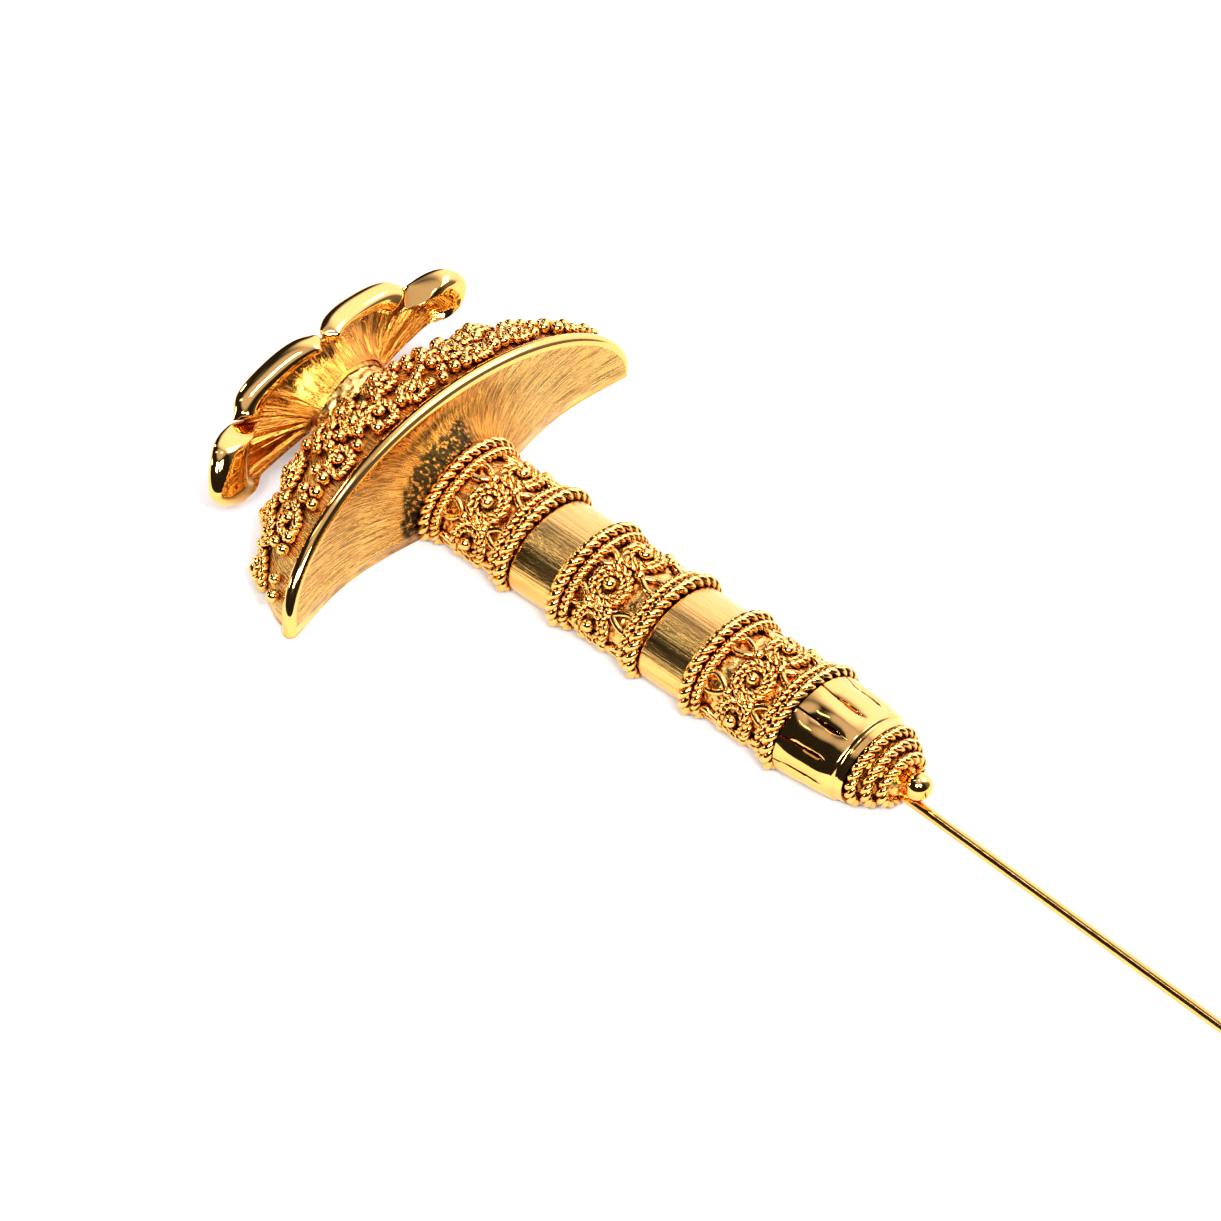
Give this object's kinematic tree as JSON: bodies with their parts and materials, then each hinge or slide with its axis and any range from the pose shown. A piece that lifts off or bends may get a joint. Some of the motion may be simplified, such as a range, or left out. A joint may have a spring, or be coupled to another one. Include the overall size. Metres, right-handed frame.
{
  "type": "hat pin",
  "caption": "Gold-tone hat pin with a flat-backed relief head: petal finial, crescent guard, filigree-banded grip, long straight pin and a push-on point cap.",
  "frame": {"origin": "on the flat back of the grip, midway between the two horns of the crescent guard", "axes": "+X along the head towards the pin's point, +Z out of the relief away from the flat back, +Y across towards one horn"},
  "size_m": [0.1684, 0.0352, 0.0083],
  "materials": {
    "polished_gold": "mirror polished gold plate",
    "satin_gold": "brushed satin gold plate, strokes running out from the grip and along it",
    "filigree_gold": "bright cast filigree, darker and warmer in the recesses",
    "hammered_gold": "rough hammered gold plate",
    "pin_wire_gold": "drawn and polished wire, gold plated",
    "cap_gold": "turned and polished gold plate"
  },
  "bodies": {
    "head": {"finial_hub": "polished_gold", "neck_collar": "hammered_gold", "petal_1": "polished_gold", "petal_2": "polished_gold", "petal_3": "polished_gold", "petal_4": "polished_gold", "guard_plate": "satin_gold", "guard_rim": "polished_gold", "guard_scroll_1": "filigree_gold", "guard_scroll_2": "filigree_gold", "guard_scroll_3": "filigree_gold", "guard_scroll_4": "filigree_gold", "guard_scroll_5": "filigree_gold", "guard_scroll_6": "filigree_gold", "guard_scroll_7": "filigree_gold", "guard_scroll_8": "filigree_gold", "guard_scroll_9": "filigree_gold", "grip_core": "satin_gold", "satin_sleeve_1": "satin_gold", "satin_sleeve_2": "satin_gold", "band_1_drum": "filigree_gold", "band_1_rope_near_guard": "filigree_gold", "band_1_rope_near_pin": "filigree_gold", "band_1_rosette_1": "filigree_gold", "band_1_rosette_2": "filigree_gold", "band_1_rosette_3": "filigree_gold", "band_1_rosette_4": "filigree_gold", "band_2_drum": "filigree_gold", "band_2_rope_near_guard": "filigree_gold", "band_2_rope_near_pin": "filigree_gold", "band_2_rosette_1": "filigree_gold", "band_2_rosette_2": "filigree_gold", "band_2_rosette_3": "filigree_gold", "band_2_rosette_4": "filigree_gold", "band_3_drum": "filigree_gold", "band_3_rope_near_guard": "filigree_gold", "band_3_rope_near_pin": "filigree_gold", "band_3_rosette_1": "filigree_gold", "band_3_rosette_2": "filigree_gold", "band_3_rosette_3": "filigree_gold", "band_3_rosette_4": "filigree_gold", "tip_taper": "polished_gold", "tip_peg": "filigree_gold", "tip_coil_1": "filigree_gold", "tip_coil_2": "filigree_gold", "tip_coil_3": "filigree_gold", "tip_ball": "polished_gold", "pin_wire": "pin_wire_gold"},
    "point_cap": {"point_cap": "cap_gold"}
  },
  "joints": [
    {"name": "point_cap_slide", "type": "slide", "parent": "head", "child": "point_cap", "axis": [0.999, -0.0454, 0], "range_m": [0, 0.011]}
  ]
}
